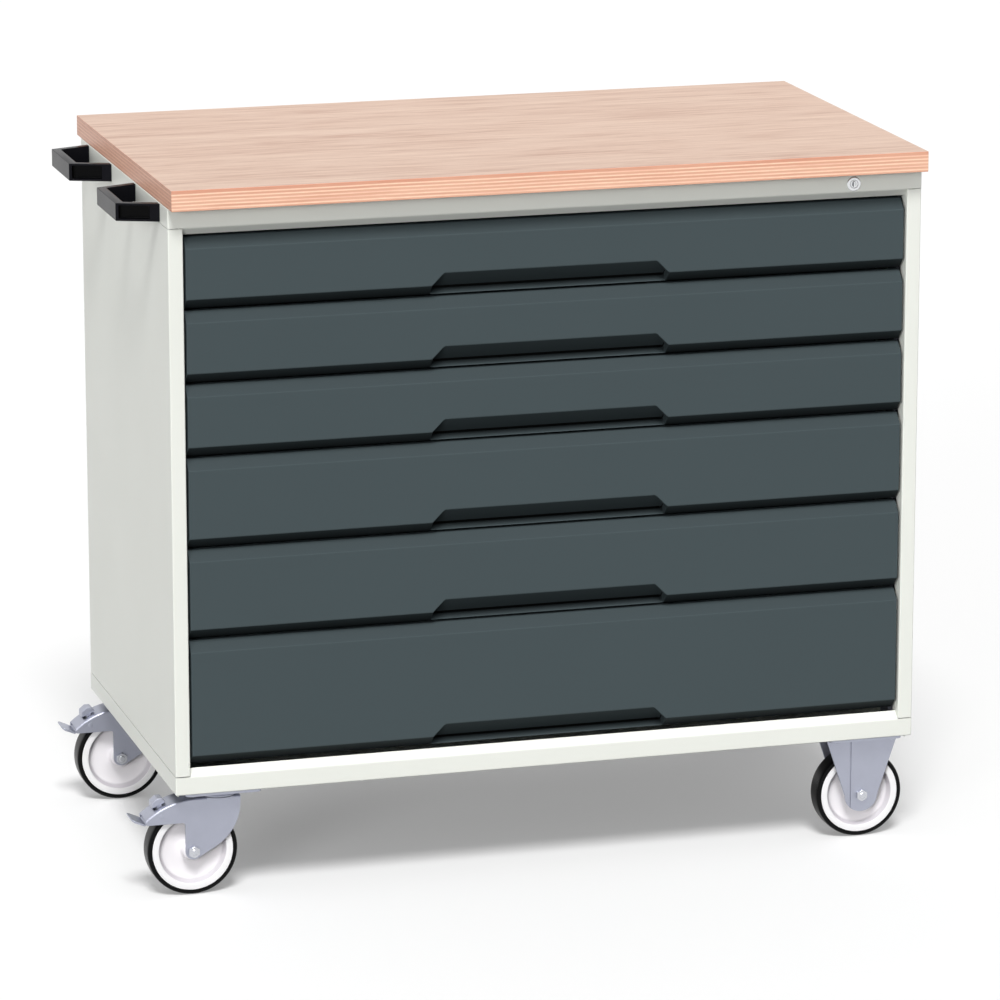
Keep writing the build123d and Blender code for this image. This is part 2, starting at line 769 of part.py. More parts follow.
def wheel_rim(x, y):
    bore = axle_radius + fit_clearance
    ring = rim_radius - rim_ring
    half = [(bore, hub_half), (hub_radius, hub_half), (hub_radius + rim_dish, disc_half_width),
            (ring - rim_dish, disc_half_width), (ring, rim_half_width), (rim_radius, rim_half_width)]
    points = half + [(radius, -along) for radius, along in reversed(half)]
    return Pos(x, y, axle_z) * revolve(outline(points), Axis.Y)


def tyre(x, y):
    points = [(rim_radius, -tyre_half_width), (wheel_radius, -tyre_half_width),
              (wheel_radius, tyre_half_width), (rim_radius, tyre_half_width)]
    return Pos(x, y, axle_z) * revolve(outline(points, [0, tyre_shoulder, tyre_shoulder, 0]), Axis.Y)


def build():
    os.makedirs("parts", exist_ok=True)
    save("worktop", worktop())
    save("top_cap", top_cap())
    save("base_tray", base_tray())
    save("left_side_panel", left_side_panel())
    save("right_side_panel", right_side_panel())
    save("back_panel", back_panel())
    save("slide_uprights", slide_uprights())
    save("cabinet_slides", cabinet_slides())
    for number, (low, high) in enumerate(drawer_levels(), start=1):
        save(f"drawer_{number}_front", drawer_front(low, high))
        save(f"drawer_{number}_tray", drawer_tray(low, high))
        save(f"drawer_{number}_inner_slides", inner_slides(low))
        save(f"drawer_{number}_middle_slides", middle_slides(low))
    save("lock_housing", lock_housing())
    save("lock_cylinder", lock_cylinder())
    save("lock_bar", lock_bar())
    for name, centre in handle_centres.items():
        save(f"push_handle_{name}", push_handle(centre))
    save("handle_screws", handle_screws())
    save("worktop_screws", worktop_screws())
    save("castor_bolts", castor_bolts())
    save("swivel_plates", [swivel_plate(front_castor_y), swivel_plate(rear_castor_y)])
    save("fixed_brackets", [fixed_bracket(front_castor_y), fixed_bracket(rear_castor_y)])
    bracket_seat = fork_outer + bracket_press_depth
    save("fixed_axles", [wheel_axle(fixed_x, y, bracket_seat) for y in (front_castor_y, rear_castor_y)])
    for name, y in (("front", front_castor_y), ("rear", rear_castor_y)):
        save(f"{name}_swivel_fork", fork(y))
        save(f"{name}_swivel_axle", wheel_axle(swivel_wheel_x, y, fork_outer))
        save(f"{name}_brake_pin", brake_pin(y))
        save(f"{name}_brake_pedal", brake_pedal(y))
        save(f"{name}_swivel_rim", wheel_rim(swivel_wheel_x, y))
        save(f"{name}_swivel_tyre", tyre(swivel_wheel_x, y))
        save(f"{name}_fixed_rim", wheel_rim(fixed_x, y))
        save(f"{name}_fixed_tyre", tyre(fixed_x, y))
    print("overall height", worktop_top, "castor height", castor_height, "slide length", slide_length)
    print("origin shift", origin_shift, "pedal reach", pedal_reach)


build()
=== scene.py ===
# %% [markdown]
# # A mobile workbench with drawers
# A folded steel cabinet stands on four castors, carries a thick plywood worktop and holds six drawers.
# The CAD model gives every piece its place and the joint it moves on. This lesson models the pieces
# finely by hand, gives them their finishes and sets up the light and the camera.

# %% Load the frame
import bpy
import json
import math
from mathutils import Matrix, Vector


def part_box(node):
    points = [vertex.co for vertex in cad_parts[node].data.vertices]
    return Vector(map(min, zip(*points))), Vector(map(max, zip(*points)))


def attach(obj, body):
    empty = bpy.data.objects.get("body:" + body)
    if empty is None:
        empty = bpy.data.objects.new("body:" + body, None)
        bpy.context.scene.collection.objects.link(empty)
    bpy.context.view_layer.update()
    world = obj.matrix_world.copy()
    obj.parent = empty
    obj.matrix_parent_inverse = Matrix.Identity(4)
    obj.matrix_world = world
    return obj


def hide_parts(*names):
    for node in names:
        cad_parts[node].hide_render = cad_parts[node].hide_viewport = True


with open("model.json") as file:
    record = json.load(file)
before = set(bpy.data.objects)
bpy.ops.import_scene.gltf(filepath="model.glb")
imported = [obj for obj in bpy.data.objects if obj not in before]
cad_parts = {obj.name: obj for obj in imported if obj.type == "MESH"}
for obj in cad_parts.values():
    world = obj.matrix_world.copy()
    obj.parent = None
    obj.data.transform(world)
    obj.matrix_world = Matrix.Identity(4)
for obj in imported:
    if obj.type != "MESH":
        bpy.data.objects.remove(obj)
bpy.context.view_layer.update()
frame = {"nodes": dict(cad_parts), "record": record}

# %% [markdown]
# ## Camera
# The picture was taken from the left and a little above, through a long lens from about eight metres.
# A long lens keeps the cabinet's edges nearly parallel, so the distance matters as much as the angle.

# %% Camera
camera = bpy.data.objects.new("camera", bpy.data.cameras.new("camera"))
bpy.context.collection.objects.link(camera)
bpy.context.scene.camera = camera
tilt_down, turn_right = 13.91, 16.11
camera.location = (-2.0270, -7.1395, 2.2984)
camera.rotation_euler = (math.radians(90 - tilt_down), 0, math.radians(-turn_right))
camera.data.sensor_width = 36
camera.data.lens = 196.5
bpy.context.scene.view_settings.view_transform = "Standard"
print("camera lens", camera.data.lens)

# %% [markdown]
# ## Writing finishes
# A finish is a small network of nodes. Two classes keep it readable. Signal wraps one socket, so that
# sums and products of values are written as Python expressions. Finish is one material, and its node
# method adds any node from its type, its settings and the values of its sockets.

# %% Signals and finishes
class Signal:
    """One output socket. Arithmetic on it adds Math nodes to its finish."""

    def __init__(self, finish, socket):
        self.finish = finish
        self.socket = socket

    def math(self, operation, *values):
        return self.finish.node("ShaderNodeMath", {"operation": operation}, dict(enumerate(values)))

    def __add__(self, other):
        return self.math("ADD", self, other)

    def __radd__(self, other):
        return self.math("ADD", other, self)

    def __sub__(self, other):
        return self.math("SUBTRACT", self, other)

    def __rsub__(self, other):
        return self.math("SUBTRACT", other, self)

    def __mul__(self, other):
        return self.math("MULTIPLY", self, other)

    def __truediv__(self, other):
        return self.math("DIVIDE", self, other)

    def __abs__(self):
        return self.math("ABSOLUTE", self)

    def __gt__(self, other):
        return self.math("GREATER_THAN", self, other)

    def floor(self):
        return self.math("FLOOR", self)

    def at_most(self, other):
        return self.math("MINIMUM", self, other)

    def at_least(self, other):
        return self.math("MAXIMUM", self, other)


class Finish:
    """One material, with a method that adds nodes."""

    def __init__(self, owner):
        owner.use_nodes = True
        self.owner = owner
        self.tree = owner.node_tree

    def node(self, kind, settings=None, sockets=None, output=0):
        node = self.tree.nodes.new(kind)
        for name, value in (settings or {}).items():
            if name == "stops":
                ramp = node.color_ramp.elements
                while len(ramp) < len(value):
                    ramp.new(0.5)
                for stop, (place, colour) in zip(ramp, value):
                    stop.position = place
                    stop.color = (*colour, 1)
            else:
                setattr(node, name, value)
        for name, value in (sockets or {}).items():
            self.feed(node.inputs[name], value)
        return Signal(self, node.outputs[output])

    def feed(self, socket, value):
        if isinstance(value, Signal):
            self.tree.links.new(value.socket, socket)
        else:
            socket.default_value = value

    def place(self):
        return self.node("ShaderNodeTexCoord", output="Object")

    def axes(self):
        place = self.place()
        return [self.node("ShaderNodeSeparateXYZ", None, {0: place}, output=index) for index in range(3)]

    def vector(self, x, y, z):
        return self.node("ShaderNodeCombineXYZ", None, {0: x, 1: y, 2: z})

    def noise(self, place, scale, detail=2.0, roughness=0.5):
        sockets = {"Vector": place, "Scale": scale, "Detail": detail, "Roughness": roughness}
        return self.node("ShaderNodeTexNoise", None, sockets)

    def ramp(self, factor, *stops):
        return self.node("ShaderNodeValToRGB", {"stops": stops}, {"Fac": factor})

    def blend(self, factor, first, second):
        """A colour between two colours."""
        return self.node("ShaderNodeMix", {"data_type": "RGBA"}, {0: factor, 6: first, 7: second}, output=2)

    def bump(self, height, strength, distance):
        sockets = {"Height": height, "Strength": strength, "Distance": distance}
        return self.node("ShaderNodeBump", None, sockets)

    def seen(self):
        """One for what the eye sees, straight, mirrored or through glass, and nought for light cast about."""
        rays = self.node("ShaderNodeLightPath").socket.node.outputs
        direct = Signal(self, rays["Is Camera Ray"]).at_least(Signal(self, rays["Is Glossy Ray"]))
        return direct.at_least(Signal(self, rays["Is Transmission Ray"]))

    def surface(self, **sockets):
        shader = self.tree.nodes["Principled BSDF"]
        for name, value in sockets.items():
            self.feed(shader.inputs[name.replace("_", " ")], value)


def colour(red, green, blue):
    """A colour as a picture program shows it, 0 to 255, turned into linear light."""
    def linear(value):
        part = value / 255
        return part / 12.92 if part <= 0.04045 else ((part + 0.055) / 1.055) ** 2.4
    return (linear(red), linear(green), linear(blue), 1)


def grey(level):
    """A grey given in linear light."""
    return (level, level, level, 1)


def darker(shade, share):
    """A colour with only a share of its light."""
    return tuple(value * share for value in shade[:3]) + (1,)


def new_finish(name):
    return Finish(bpy.data.materials.new(name))


def add_painted_shade(finish, mark, shade):
    """Paints shade: blends a finish towards a shade where a piece carries a mark, an attribute from 0 to 1.
    """
    base = finish.tree.nodes["Principled BSDF"].inputs["Base Color"]
    plain = Signal(finish, base.links[0].from_socket)
    amount = finish.node("ShaderNodeAttribute", {"attribute_name": mark}, output="Fac")
    finish.surface(Base_Color=finish.blend(amount, plain, shade))


print("finish classes ready")

# %% [markdown]
# ## Light and floor
# The cabinet was lit softly and mostly from the front. A pale sky that is brighter near the horizon gives
# the light from all round. Two far lamps light the whole width evenly: one from above, which puts the rail
# under the board in shade, and one low in front, which fills that shade and shows in no reflection, so that
# it leaves no glare on the board. To the eye and in reflections the backdrop is white, while it sends little
# light up at the cabinet, so the faces that look down stay dark. A weak glow of the floor keeps the shadow
# under the cabinet from getting too deep.

# %% Light and floor
sky = Finish(bpy.data.worlds.new("sky"))
bpy.context.scene.world = sky.owner
seen = sky.seen()
horizon_level = 0.7
zenith_level = 0.3
direction = sky.node("ShaderNodeTexCoord", output="Generated")
upward = sky.node("ShaderNodeSeparateXYZ", None, {0: direction}, output=2).at_least(0)
level = horizon_level - upward * (horizon_level - zenith_level)
background = sky.tree.nodes["Background"]
background.inputs["Color"].default_value = grey(1)
sky.feed(background.inputs["Strength"], level + seen * (1 - level))


def far_lamp(name, strength, spread, to_the_left, height):
    """A lamp far off, placed by its angles from straight ahead of the cabinet, in degrees."""
    light = bpy.data.objects.new(name, bpy.data.lights.new(name, "SUN"))
    bpy.context.collection.objects.link(light)
    light.data.energy = strength
    light.data.angle = math.radians(spread)
    light.rotation_euler = (math.radians(90 - height), 0, math.radians(-to_the_left))
    return light


far_lamp("key_lamp", strength=2.46, spread=18, to_the_left=15, height=55)
fill_lamp = far_lamp("fill_lamp", strength=1.56, spread=24, to_the_left=40, height=8.5)
fill_lamp.visible_glossy = False

bpy.ops.object.select_all(action="DESELECT")
floor_size = 120
bpy.ops.mesh.primitive_plane_add(size=floor_size, location=(0, 0, 0))
floor = bpy.context.object
floor.name = "floor"
floor_finish = new_finish("floor")
floor.data.materials.append(floor_finish.owner)
seen = floor_finish.seen()
floor_colour = floor_finish.blend(seen, grey(0.06), grey(0.74))
floor_glow = floor_finish.blend(seen, grey(0), grey(0.19))
from_below = floor_finish.node("ShaderNodeNewGeometry", output="Backfacing")
floor_finish.surface(Base_Color=floor_colour, Roughness=1.0, Specular_IOR_Level=0.0,
                     Emission_Color=floor_glow, Emission_Strength=1.0, Alpha=1 - from_below)
print("sky, lamps and floor made")

# %% [markdown]
# ## Plywood
# The board is glued up from beech veneers whose grain runs lengthwise and crosswise in turn. A solid
# pattern does the same: each ply has its own streaks through the whole board, so the top shows long
# grain and the cut edges show long grain and end grain in turn, with a thin glue line between plies.
# Soft patches and the uppermost ply make the front edge a little redder in places.

# %% Plywood
board_low, board_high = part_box("worktop")
plywood = new_finish("beech_multiplex")
x, y, z = plywood.axes()
pale_plies = 5
top_ply = 0.0045
pale_share = 0.42
glue_share = 0.02
cut_depth = 0.0004
wave_height = 0.0016
red_depth = 0.011
pair_height = (board_high.z - board_low.z - top_ply) / pale_plies
wave = (plywood.noise(plywood.vector(x * 7, y * 7, z * 7), 1.0, 3.0) - 0.5) * wave_height
ply = (board_high.z - z + wave - top_ply) / pair_height
pair = ply.floor().at_least(-1)
in_pair = ply - pair
lengthwise = (in_pair > pale_share).at_least(1 - (ply > 0))
crosswise = 1 - lengthwise
layer = pair * 2 + lengthwise
run = x + (y - x) * crosswise
across = y + (x - y) * crosswise
depth = z + layer * 0.37
figure = plywood.noise(plywood.vector(run * 2.4, across * 30, depth * 20), 1.0, 3.0, 0.6)
streaks = plywood.noise(plywood.vector(run * 9, across * 120, depth * 200), 1.0, 4.0, 0.62)
flecks = plywood.noise(plywood.vector(run * 90, across * 900, depth * 900), 1.0, 1.0)
middle = (board_low + board_high) / 2
half_size = (board_high - board_low) / 2
front_cut = abs(y - middle.y) > half_size.y - cut_depth
side_cut = abs(x - middle.x) > half_size.x - cut_depth
cut = front_cut.at_least(side_cut)
grain = figure * 0.4 + streaks * 0.6


def edge_ply(dark, light):
    return plywood.ramp(grain, (0.30, dark[:3]), (0.66, light[:3]))


face_wood = plywood.ramp(grain, (0.34, colour(182, 142, 121)[:3]), (0.48, colour(206, 174, 154)[:3]),
                         (0.64, colour(219, 190, 170)[:3]))
fleck = (flecks > 0.66) * 0.2
face_wood = plywood.blend(fleck, face_wood, colour(168, 120, 98))
long_wood = edge_ply(colour(216, 158, 132), colour(236, 186, 160))
end_wood = edge_ply(colour(246, 202, 174), colour(254, 216, 190))
side_long = edge_ply(colour(212, 158, 134), colour(230, 186, 162))
side_end = edge_ply(colour(194, 140, 118), colour(214, 168, 146))
side_wood = plywood.blend(lengthwise, side_long, side_end)
front_wood = plywood.blend(crosswise, long_wood, end_wood)
patches = plywood.noise(plywood.vector(run * 5, across * 5, layer * 2.3), 1.0, 2.0)
uppermost = (1 - (board_high.z - z) / red_depth).at_least(0)
redness = (patches - 0.46).at_least(0) * 1.6 + uppermost * lengthwise * 0.5
front_wood = plywood.blend(redness.at_most(1), front_wood, colour(208, 142, 116))
edge_wood = plywood.blend(side_cut, front_wood, side_wood)
wood = plywood.blend(cut, face_wood, edge_wood)
near_joint = abs(in_pair - pale_share / 2) > pale_share / 2 - glue_share
glue = near_joint * (pale_share + glue_share - in_pair > 0)
wood = plywood.blend(glue * cut * (ply > 0) * 0.25, wood, colour(170, 112, 86))
plywood.surface(Base_Color=wood, Roughness=0.52 - streaks * 0.12,
                Normal=plywood.bump(streaks, 0.12, 0.0004))
print("plywood with", 2 * pale_plies + 1, "plies")

# %% [markdown]
# ## Powder coat
# The sheet steel is powder coated: paint melted on in the oven, hard, satin and very slightly orange
# peeled. A fine noise lifts the surface by hundredths of a millimetre and another varies the gloss. The
# folds of the drawer fronts lie in deep shade, which is painted into the coat where the fronts are marked:
# most in the grip pocket and on faces that look down, and slightly on the upper bevels.

# %% Powder coat
def powder_coat(name, shade, gloss_low, gloss_high, shine):
    coat = new_finish(name)
    place = coat.place()
    peel = coat.noise(place, 620, 2.0)
    cloud = coat.noise(place, 5, 3.0)
    coat.surface(Base_Color=coat.blend(cloud, shade, darker(shade, 0.955)),
                 Roughness=gloss_low + cloud * (gloss_high - gloss_low),
                 Normal=coat.bump(peel, 0.08, 0.0003), Specular_IOR_Level=shine)
    return coat


light_grey = powder_coat("light_grey_paint", colour(232, 234, 227), 0.36, 0.48, 0.4)
anthracite = powder_coat("anthracite_paint", colour(71, 81, 84), 0.42, 0.52, 0.04)
# The marks on the drawer fronts paint shade into this coat, darkest in the grip pocket's slit.
add_painted_shade(anthracite, "hollow", colour(5, 6, 6))
tray_paint = powder_coat("tray_paint", colour(67, 77, 80), 0.42, 0.55, 0.12)
print("powder coats", light_grey.owner.name, anthracite.owner.name, tray_paint.owner.name)

# %% [markdown]
# ## Zinc, bright steel and chrome
# Forks, plates, slides and brackets are zinc plated, which gives a satin bluish grey with faint clouds.
# Nuts and screws are brighter. The lock is polished.

# %% Metals
def plated(name, shade, gloss, clouds):
    metal = new_finish(name)
    place = metal.place()
    cloud = metal.noise(place, 26, 4.0, 0.6)
    grain = metal.noise(place, 900, 2.0)
    metal.surface(Base_Color=metal.blend(cloud, shade, darker(shade, 1 - clouds)), Metallic=0.9,
                  Roughness=gloss + cloud * 0.12, Normal=metal.bump(grain, 0.05, 0.0002))
    return metal


zinc = plated("zinc_steel", colour(177, 180, 194), 0.36, 0.14)
bright_steel = plated("bright_steel", colour(206, 208, 214), 0.22, 0.10)
chrome = plated("lock_chrome", colour(228, 229, 231), 0.12, 0.06)
# Painted shade darkens the chrome where it is marked, inside the lock's key slot.
add_painted_shade(chrome, "hollow", colour(12, 12, 14))
print("metals", zinc.owner.name, bright_steel.owner.name, chrome.owner.name)

# %% [markdown]
# ## Plastics and rubber
# The handles are black moulded plastic with a fine grain, and painted shade darkens the pockets of their
# legs.
# The wheels are smooth plastic with a black rubber tyre: the ring is white, and painted shade makes the
# web inside it and the slope between them a little greyer.

# %% Plastics and rubber
def moulded(name, shade, gloss, grain_scale, grain_strength, shine):
    plastic = new_finish(name)
    place = plastic.place()
    grain = plastic.noise(place, grain_scale, 2.0)
    cloud = plastic.noise(place, 14, 3.0)
    plastic.surface(Base_Color=plastic.blend(cloud, shade, darker(shade, 0.93)),
                    Roughness=gloss + cloud * 0.1,
                    Normal=plastic.bump(grain, grain_strength, 0.0003), Specular_IOR_Level=shine)
    return plastic


black_plastic = moulded("black_plastic", colour(13, 13, 18), 0.2, 900, 0.05, 0.075)
# Painted shade darkens the marked pockets of the handles' legs.
add_painted_shade(black_plastic, "hollow", colour(2, 2, 3))
wheel_plastic = moulded("wheel_plastic", colour(246, 245, 246), 0.34, 300, 0.02, 0.4)
# Painted shade: a little on the wheel's web, more on the slope up to the ring.
add_painted_shade(wheel_plastic, "web", colour(239, 236, 239))
add_painted_shade(wheel_plastic, "slope", colour(204, 200, 205))
tyre_rubber = moulded("tyre_rubber", colour(8, 8, 9), 0.24, 500, 0.04, 0.1)
print("plastics", black_plastic.owner.name, wheel_plastic.owner.name, tyre_rubber.owner.name)

# %% [markdown]
# ## Finishes on the CAD pieces
# Every CAD piece gets the finish of its material slot. Pieces that are modelled anew further down take
# the place of their CAD piece, and the others, mostly inside the cabinet, stay as they are.

# %% Finishes by slot
finishes = {"beech_multiplex": plywood, "light_grey_paint": light_grey, "anthracite_paint": anthracite,
            "tray_paint": tray_paint, "zinc_steel": zinc, "bright_steel": bright_steel, "lock_chrome": chrome,
            "black_plastic": black_plastic, "wheel_plastic": wheel_plastic, "tyre_rubber": tyre_rubber}
slot_of = {part["node"]: part["material_slot"] for part in frame["record"]["subparts"]}
for name, node in frame["nodes"].items():
    node.data.materials.clear()
    node.data.materials.append(finishes[slot_of[name]].owner)
print("finishes on", len(frame["nodes"]), "CAD pieces")

# %% [markdown]
# ## Modelling by hand
# Each piece starts from a primitive or from one vertex that is pulled from point to point, the way an
# outline is drawn by hand. A few small helpers select by place or direction, extrude, spin and round.
# Sizes are in millimetres from the cabinet's middle and the floor.

# %% Modelling helpers
mm = 0.001
smooth_angle = math.radians(32)
cap_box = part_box("top_cap")
cabinet_x = (cap_box[0].x + cap_box[1].x) / 2


def spot(x, y, z):
    """A place in millimetres, as a point in the frame."""
    return Vector((cabinet_x + x * mm, y * mm, z * mm))


def clear_selection():
    if bpy.context.mode != "OBJECT":
        bpy.ops.object.mode_set(mode="OBJECT")
    bpy.ops.object.select_all(action="DESELECT")


def work_on(piece):
    clear_selection()
    piece.select_set(True)
    bpy.context.view_layer.objects.active = piece


def open_all(piece):
    """Opens edit mode with the whole piece selected."""
    work_on(piece)
    bpy.ops.object.mode_set(mode="EDIT")
    bpy.ops.mesh.select_all(action="SELECT")


def leave_edit():
    bpy.ops.object.mode_set(mode="OBJECT")


def add_box(name, low, high):
    """A cube primitive brought to two corners."""
    clear_selection()
    bpy.ops.mesh.primitive_cube_add(size=1, location=(low + high) / 2, scale=high - low)
    bpy.ops.object.transform_apply(location=True, rotation=True, scale=True)
    piece = bpy.context.object
    piece.name = name
    return piece


def choose(piece, kind, test):
    """Opens edit mode with the faces or edges selected whose middle and direction pass the test."""
    work_on(piece)
    mesh = piece.data
    bpy.context.tool_settings.mesh_select_mode = (False, kind == "EDGE", kind == "FACE")
    for items in (mesh.vertices, mesh.edges, mesh.polygons):
        items.foreach_set("select", [False] * len(items))
    if kind == "FACE":
        for face in mesh.polygons:
            face.select = test(face.center, face.normal)
    else:
        for edge in mesh.edges:
            start, end = (mesh.vertices[index].co for index in edge.vertices)
            edge.select = test((start + end) / 2, (end - start).normalized())
    bpy.ops.object.mode_set(mode="EDIT")


def extrude(step):
    bpy.ops.mesh.extrude_region_move(TRANSFORM_OT_translate={"value": Vector(step)})


def slice_all(piece, place, normal, keep_both=True):
    """Cuts the whole piece by a plane, and drops what lies ahead of the plane if asked."""
    choose(piece, "FACE", lambda middle, direction: True)
    bpy.ops.mesh.bisect(plane_co=place, plane_no=normal, clear_outer=not keep_both, use_fill=not keep_both)
    leave_edit()


def draw(name, points, closed=True):
    """An outline drawn by pulling one vertex from point to point, and filled if it is closed."""
    clear_selection()
    bpy.ops.mesh.primitive_plane_add(size=0.01, location=points[0])
    bpy.ops.object.transform_apply(location=True)
    piece = bpy.context.object
    piece.name = name
    bpy.context.tool_settings.mesh_select_mode = (True, False, False)
    bpy.ops.object.mode_set(mode="EDIT")
    bpy.ops.mesh.select_all(action="SELECT")
    bpy.ops.mesh.merge(type="CENTER")
    for start, end in zip(points, points[1:]):
        extrude(end - start)
    if closed:
        bpy.ops.mesh.select_all(action="SELECT")
        bpy.ops.mesh.edge_face_add()
    leave_edit()
    return piece


def pull(piece, step):
    """Extrudes everything in the piece along one step."""
    open_all(piece)
    extrude(step)
    leave_edit()


def tidy(piece):
    """Merges doubles and turns the faces outwards."""
    open_all(piece)
    bpy.ops.mesh.remove_doubles(threshold=1e-6)
    bpy.ops.mesh.normals_make_consistent(inside=False)
    leave_edit()


def face_towards(piece, direction):
    """Turns an open skin round if its widest face looks away from a direction."""
    widest = max(piece.data.polygons, key=lambda face: face.area)
    if widest.normal.dot(Vector(direction)) < 0:
        open_all(piece)
        bpy.ops.mesh.flip_normals()
        leave_edit()


def apply_modifier(piece, kind, **settings):
    work_on(piece)
    modifier = piece.modifiers.new(kind.lower(), kind)
    for name, value in settings.items():
        setattr(modifier, name, value)
    bpy.ops.object.modifier_apply(modifier=modifier.name)


def round_edges(piece, width, segments=3, angle=30):
    """Rounds every edge that is sharper than an angle."""
    apply_modifier(piece, "BEVEL", width=width * mm, segments=segments, limit_method="ANGLE",
                   angle_limit=math.radians(angle), miter_outer="MITER_ARC")


def fold(piece, sheet, bend):
    """Turns an open skin into folded sheet metal: rounded bends, then thickness on the inner side."""
    if bend:
        round_edges(piece, bend, segments=4, angle=20)
    apply_modifier(piece, "SOLIDIFY", thickness=sheet * mm, offset=-1, use_even_offset=True)
    tidy(piece)


def cut_away(piece, cutter):
    apply_modifier(piece, "BOOLEAN", operation="DIFFERENCE", object=cutter, solver="EXACT")
    bpy.data.objects.remove(cutter)


def join(first, *others):
    work_on(first)
    for piece in others:
        piece.select_set(True)
    bpy.ops.object.join()


def copy_piece(piece, name, step):
    """A copy with its own mesh, moved by a step that goes into the mesh."""
    work_on(piece)
    bpy.ops.object.duplicate(linked=False)
    twin = bpy.context.object
    twin.name = name
    bpy.ops.transform.translate(value=step)
    bpy.ops.object.transform_apply(location=True)
    return twin


def spin(piece, centre, axis=(0, 1, 0), steps=96):
    """Turns a drawn profile once round an axis."""
    open_all(piece)
    bpy.ops.mesh.spin(steps=steps, angle=2 * math.pi, center=centre, axis=axis)
    leave_edit()
    tidy(piece)


def arc(centre_x, centre_z, radius, start, end, count):
    """Points on an arc, its angles in degrees."""
    angles = [math.radians(start + (end - start) * index / (count - 1)) for index in range(count)]
    return [(centre_x + radius * math.cos(angle), centre_z + radius * math.sin(angle)) for angle in angles]


def both_sides(half):
    """Half a turned profile and its mirror image, as one line."""
    return half + [(radius, -along) for radius, along in reversed(half)]


def mark_faces_for_painted_shade(piece, test):
    """Marks the faces whose middle passes a test, for finishes that paint shade on them."""
    values = piece.data.attributes.new("hollow", "FLOAT", "CORNER").data
    for face in piece.data.polygons:
        amount = float(test(face.center))
        for loop in face.loop_indices:
            values[loop].value = amount


def dress(piece, body, slot, *nodes):
    """Smooths a finished piece, gives it its finish and sets it in the place of its CAD pieces."""
    work_on(piece)
    bpy.ops.object.shade_smooth_by_angle(angle=smooth_angle)
    apply_modifier(piece, "WEIGHTED_NORMAL", keep_sharp=True)
    piece.data.materials.clear()
    piece.data.materials.append(finishes[slot].owner)
    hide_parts(*nodes)
    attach(piece, body)
    print(piece.name, len(piece.data.polygons), "faces")


print("modelling helpers ready, the cabinet's middle is at x =", round(cabinet_x, 4))

# %% [markdown]
# ## Worktop
# The board is a plain block whose edges are eased so that they don't splinter.

# %% Worktop
worktop = add_box("worktop_board", board_low, board_high)
round_edges(worktop, 0.7)
dress(worktop, "cabinet", "beech_multiplex", "worktop")

# %% [markdown]
# ## Cap and base
# Both are pans folded from one sheet. A box without its lid is the skin, the 45 degree lip is pulled from
# the middle of the front edge, and the bends are rounded before the sheet gets its thickness.

# %% Cap and base
sheet = 1.5
pan_bend = 1.6
panel_bend = 1.8
lip = 10 * mm
lip_half = 504


def pan(name, low, high, open_side, lip_z, lip_step):
    piece = add_box(name, low, high)
    choose(piece, "FACE", lambda middle, normal: normal.z * open_side > 0.9)
    bpy.ops.mesh.delete(type="ONLY_FACE")
    for side in (-1, 1):
        slice_all(piece, spot(side * lip_half, 0, 0), (1, 0, 0))
    choose(piece, "EDGE", lambda middle, along: abs(middle.z - lip_z) < 1e-5 and middle.y < low.y + 1e-5
           and abs(middle.x - cabinet_x) < 0.5)
    extrude(lip_step)
    leave_edit()
    fold(piece, sheet, pan_bend)
    return piece


cap = pan("cap_sheet", spot(-525, -275, 925), spot(525, 275, 952), -1, 0.925, (0, lip, -lip))
dress(cap, "cabinet", "light_grey_paint", "top_cap")
base = pan("base_sheet", spot(-525, -275, 150), spot(525, 275, 175), 1, 0.175, (0, lip, lip))
hem_section = [(524.6, 151), (519.6, 145), (518.1, 145.6), (523, 151.5)]
hem_front, hem_length = -263, 526
for side in (-1, 1):
    hem = draw("hem", [spot(side * x, hem_front, z) for x, z in hem_section])
    pull(hem, (0, hem_length * mm, 0))
    tidy(hem)
    join(base, hem)
dress(base, "cabinet", "light_grey_paint", "base_tray")

# %% [markdown]
# ## Side panels
# Each panel is one sheet with a stile folded in at the front and a narrow flange at the back. Its section
# is drawn from above and pulled up to the panel's height.

# %% Side panels
panel_foot, panel_height = 176.2, 748
section = [(504.5, -253.5), (504.5, -274.9), (524.9, -274.9), (524.9, 274.9), (504.5, 274.9)]
for name, side in (("left", -1), ("right", 1)):
    panel = draw(f"{name}_side_sheet", [spot(side * x, y, panel_foot) for x, y in section], closed=False)
    pull(panel, (0, 0, panel_height * mm))
    face_towards(panel, (side, 0, 0))
    fold(panel, sheet, panel_bend)
    dress(panel, "cabinet", "light_grey_paint", f"{name}_side_panel")

# %% [markdown]
# ## Drawer fronts
# A front is folded sheet with a 45 degree bevel along its top and bottom. Its grip pocket is a groove of
# V section, let into the middle of the lower edge, with slanted upper corners and a slit along its crease.
# The block is bevelled, the groove is cut out, all bends are rounded and the slit is cut last. Three heights
# are modelled and the others are copies.

# %% Drawer fronts
bevel = 14 * mm
grip_rise = 17 * mm
grip_half = 165 * mm
grip_depth = (grip_rise + 2 * bevel) / 2
overshoot = 6 * mm
drawer_numbers = range(1, 7)


def finger_groove(face, bottom):
    crease = bottom + bevel
    section = [(face - overshoot, crease + grip_rise), (face, crease + grip_rise),
               (face + grip_depth, crease + grip_rise - grip_depth), (face + bevel, bottom),
               (face + bevel, bottom - overshoot), (face - overshoot, bottom - overshoot)]
    groove = draw("groove", [Vector((cabinet_x - grip_half, y, z)) for y, z in section])
    pull(groove, (2 * grip_half, 0, 0))
    tidy(groove)
    for side in (-1, 1):
        corner = Vector((cabinet_x + side * grip_half, face, crease))
        slice_all(groove, corner, (side, 0, 1), keep_both=False)
    tidy(groove)
    return groove


